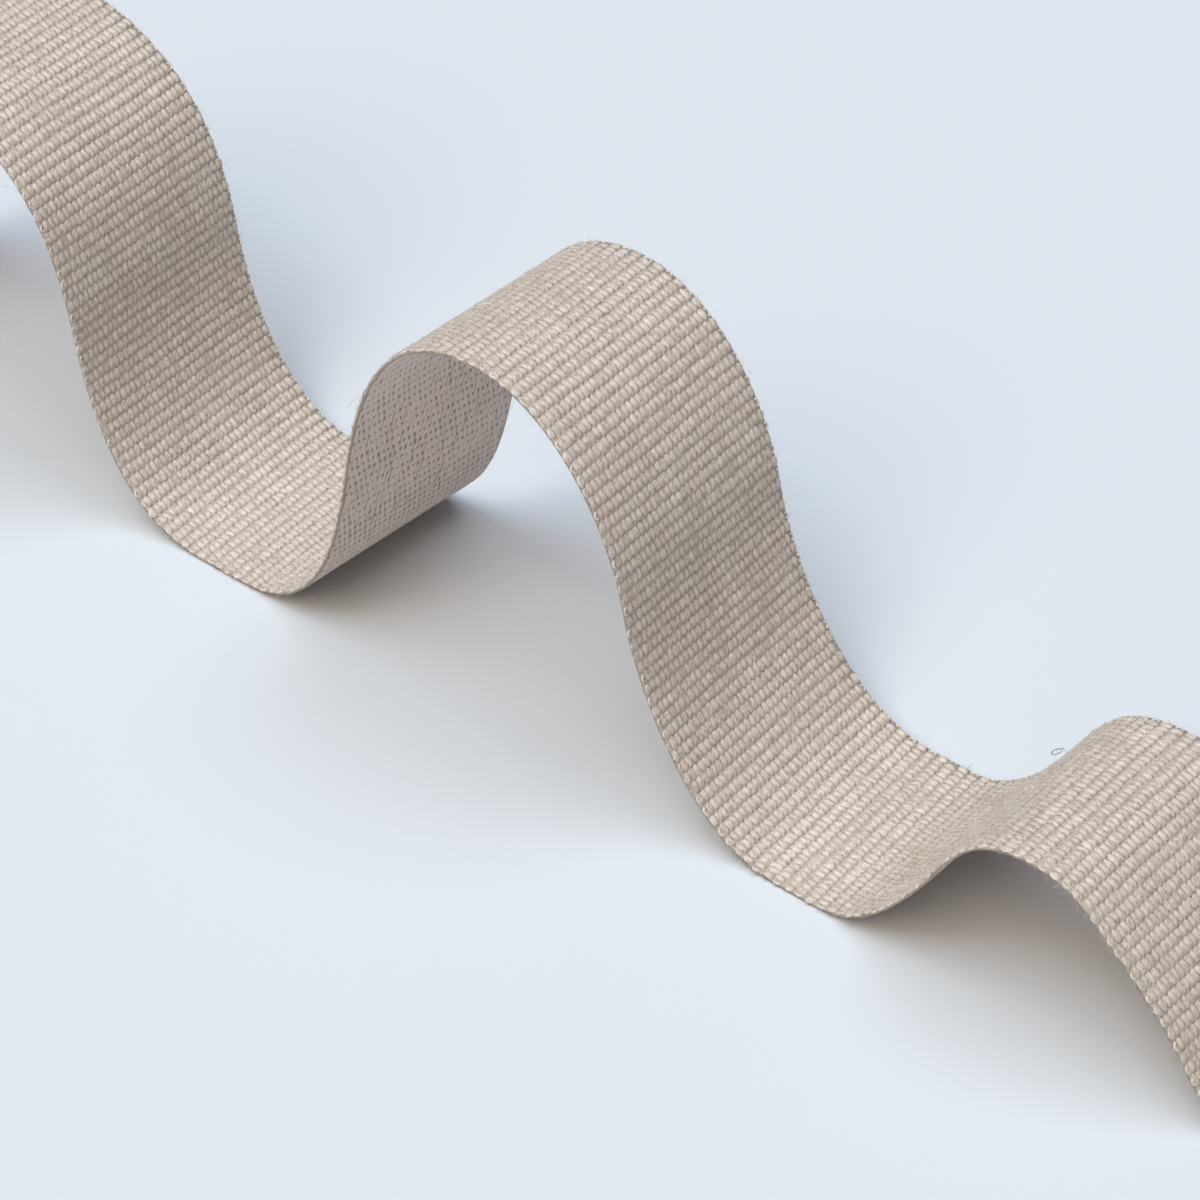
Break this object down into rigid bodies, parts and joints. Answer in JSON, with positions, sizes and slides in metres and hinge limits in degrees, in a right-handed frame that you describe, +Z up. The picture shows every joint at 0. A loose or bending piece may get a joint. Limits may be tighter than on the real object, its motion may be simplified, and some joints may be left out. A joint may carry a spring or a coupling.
{
  "type": "length of linen tape",
  "caption": "Cut length of ribbed linen tape laid in upright waves, a plain woven trimming with a ribbed face, a smoother reverse and woven selvedges.",
  "frame": {"origin": "middle of the underside of the part's box, on the surface it stands on", "axes": "+X along the tape from its left cut end to its right one, +Y across its width from the near selvedge to the far one, +Z up"},
  "size_m": [0.1752, 0.02, 0.0376],
  "materials": {
    "linen": "woven undyed linen, matt, ribbed across on the face and greyer and smoother on the reverse"
  },
  "bodies": {
    "root": {"linen_tape": "linen"}
  },
  "joints": []
}
